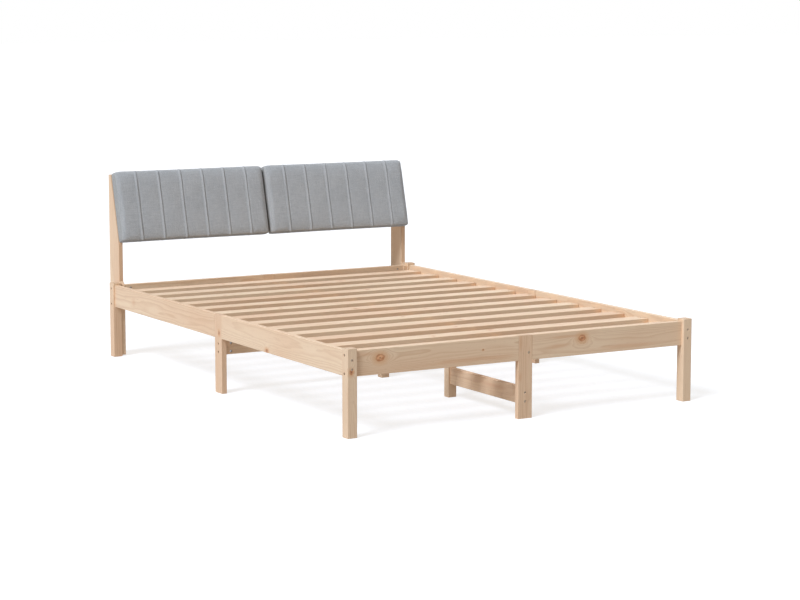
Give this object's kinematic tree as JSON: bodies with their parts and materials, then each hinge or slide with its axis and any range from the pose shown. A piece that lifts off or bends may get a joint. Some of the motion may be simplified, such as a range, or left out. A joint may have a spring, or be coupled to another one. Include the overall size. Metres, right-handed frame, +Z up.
{
  "type": "bed frame",
  "caption": "Low double bed frame of planed pine boards on square corner legs, with tapered headboard posts and two leaning channel-sewn cushions.",
  "frame": {"origin": "floor level under the middle of the overall length and width", "axes": "+Z up, +Y from the foot towards the headboard, +X across the bed to the right seen from the foot"},
  "size_m": [1.46, 2.1508, 0.77],
  "materials": {
    "pine": "planed and sanded, untreated",
    "beech": "fluted dowel stock",
    "plywood": "raw birch plywood",
    "zinc_steel": "bright zinc plated",
    "cushion_fabric": "light grey plain weave, sewn in channels"
  },
  "bodies": {
    "root": {"angle_brackets": "zinc_steel", "barrel_nuts": "zinc_steel", "beam_plate": "zinc_steel", "bolts": "zinc_steel", "centre_beam_foot": "pine", "centre_beam_head": "pine", "centre_leg_foot": "pine", "centre_leg_head": "pine", "centre_leg_middle": "pine", "cross_board_left": "pine", "cross_board_right": "pine", "cushion_board_left": "plywood", "cushion_board_right": "plywood", "cushion_left": "cushion_fabric", "cushion_right": "cushion_fabric", "dowels": "beech", "foot_centre_leg": "pine", "foot_cleat": "pine", "foot_rail_left": "pine", "foot_rail_right": "pine", "foot_stretcher": "pine", "head_centre_leg": "pine", "head_cleat": "pine", "head_rail_left": "pine", "head_rail_right": "pine", "head_stretcher": "pine", "headboard_post_left": "pine", "headboard_post_right": "pine", "headboard_rail_lower": "pine", "headboard_rail_upper": "pine", "ledger_foot_left": "pine", "ledger_foot_right": "pine", "ledger_head_left": "pine", "ledger_head_right": "pine", "leg_foot_left": "pine", "leg_foot_right": "pine", "leg_head_left": "pine", "leg_head_right": "pine", "side_cleat_left": "pine", "side_cleat_right": "pine", "side_leg_left": "pine", "side_leg_right": "pine", "side_rail_foot_left": "pine", "side_rail_foot_right": "pine", "side_rail_head_left": "pine", "side_rail_head_right": "pine", "slat_01": "pine", "slat_02": "pine", "slat_03": "pine", "slat_04": "pine", "slat_05": "pine", "slat_06": "pine", "slat_07": "pine", "slat_08": "pine", "slat_09": "pine", "slat_10": "pine", "slat_11": "pine", "slat_12": "pine", "slat_13": "pine", "wood_screws": "zinc_steel"}
  },
  "joints": []
}
